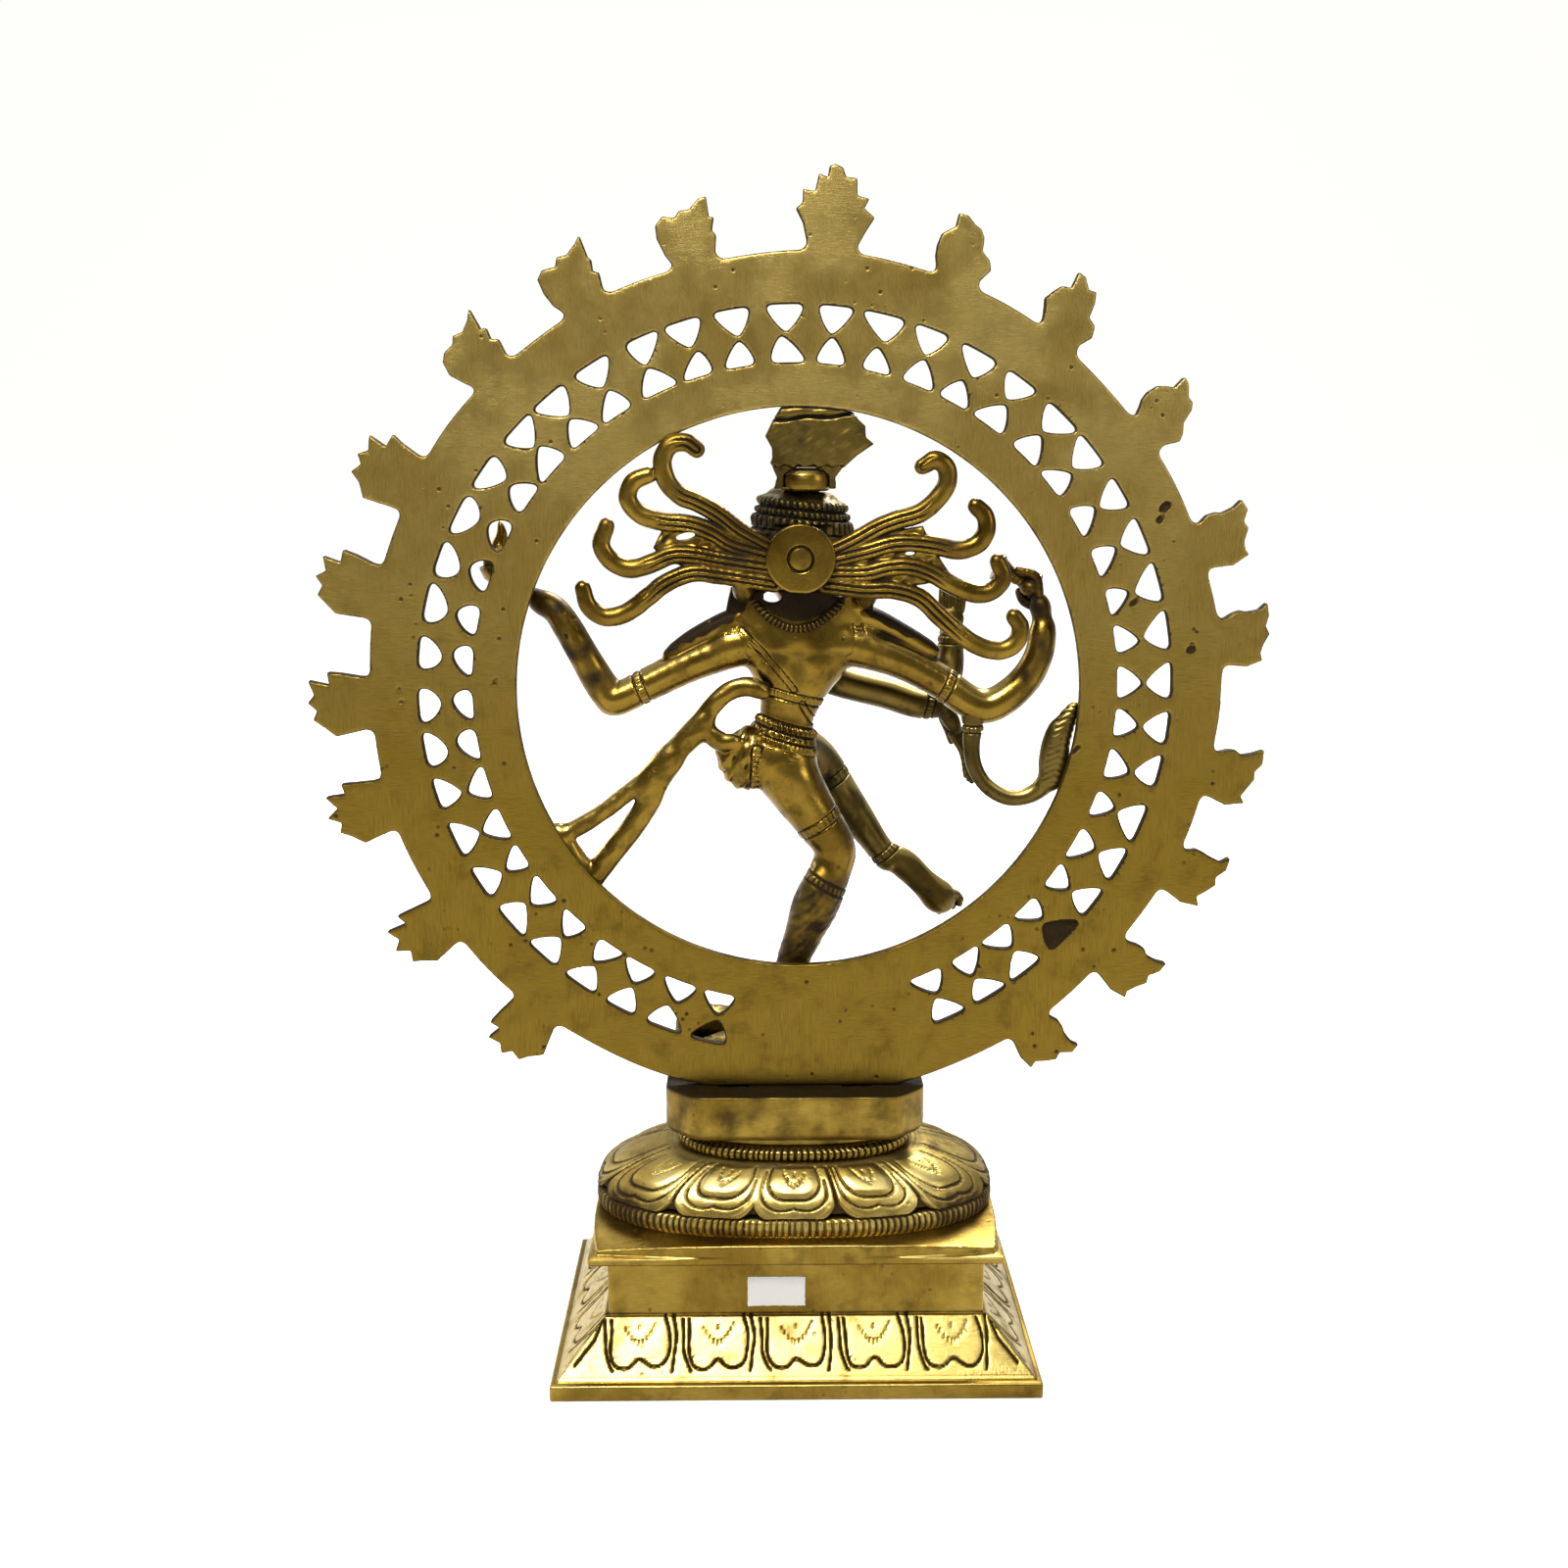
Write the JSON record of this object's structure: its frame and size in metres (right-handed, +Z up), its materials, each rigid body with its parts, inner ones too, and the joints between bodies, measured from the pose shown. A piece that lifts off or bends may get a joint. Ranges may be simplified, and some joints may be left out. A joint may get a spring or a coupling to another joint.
{
  "type": "nataraja statue",
  "caption": "Cast-brass dancing figure with four arms inside a flat pierced ring of flames, on a lotus and a hollow stepped base; stands free on a table.",
  "frame": {"origin": "centre of the base's underside, on the surface the statue stands on", "axes": "+Z up; the figure faces -Y, so its back and the flat back of the ring face +Y; the figure's left side is +X"},
  "size_m": [0.3593, 0.12, 0.4494],
  "materials": {
    "ring_brass": "flat filed and brushed plate with dark patina in the pierced holes",
    "base_brass": "polished high spots, dark patina in engraved lines",
    "figure_brass": "rubbed bright on high spots, brown patina in recesses",
    "aged_brass": "unpolished cast skin, dark brown and olive patina",
    "fixing_steel": "plain zinc-grey",
    "label_paper": "matt off-white paper, blank"
  },
  "bodies": {
    "root": {"pedestal": "base_brass", "lotus_seat": "base_brass", "neck_collar": "base_brass", "seat_block": "base_brass", "paper_label": "label_paper", "fixing_studs": "fixing_steel", "fixing_washers": "fixing_steel", "fixing_nuts": "fixing_steel", "flame_ring": "ring_brass", "dwarf": "aged_brass", "standing_leg": "figure_brass", "raised_leg": "aged_brass", "torso": "figure_brass", "hip_cloth": "figure_brass", "necklace": "aged_brass", "head": "figure_brass", "crown_cap": "aged_brass", "crown_knob": "figure_brass", "crown_fan": "aged_brass", "hair_fan_left": "figure_brass", "hair_fan_right": "figure_brass", "nape_disc": "figure_brass", "disc_rivet": "figure_brass", "rear_left_arm": "figure_brass", "rear_right_arm": "figure_brass", "front_left_arm": "aged_brass", "front_right_arm": "aged_brass", "drum": "figure_brass", "flame_bowl": "figure_brass", "flying_sash": "figure_brass", "serpent": "aged_brass"}
  },
  "joints": []
}
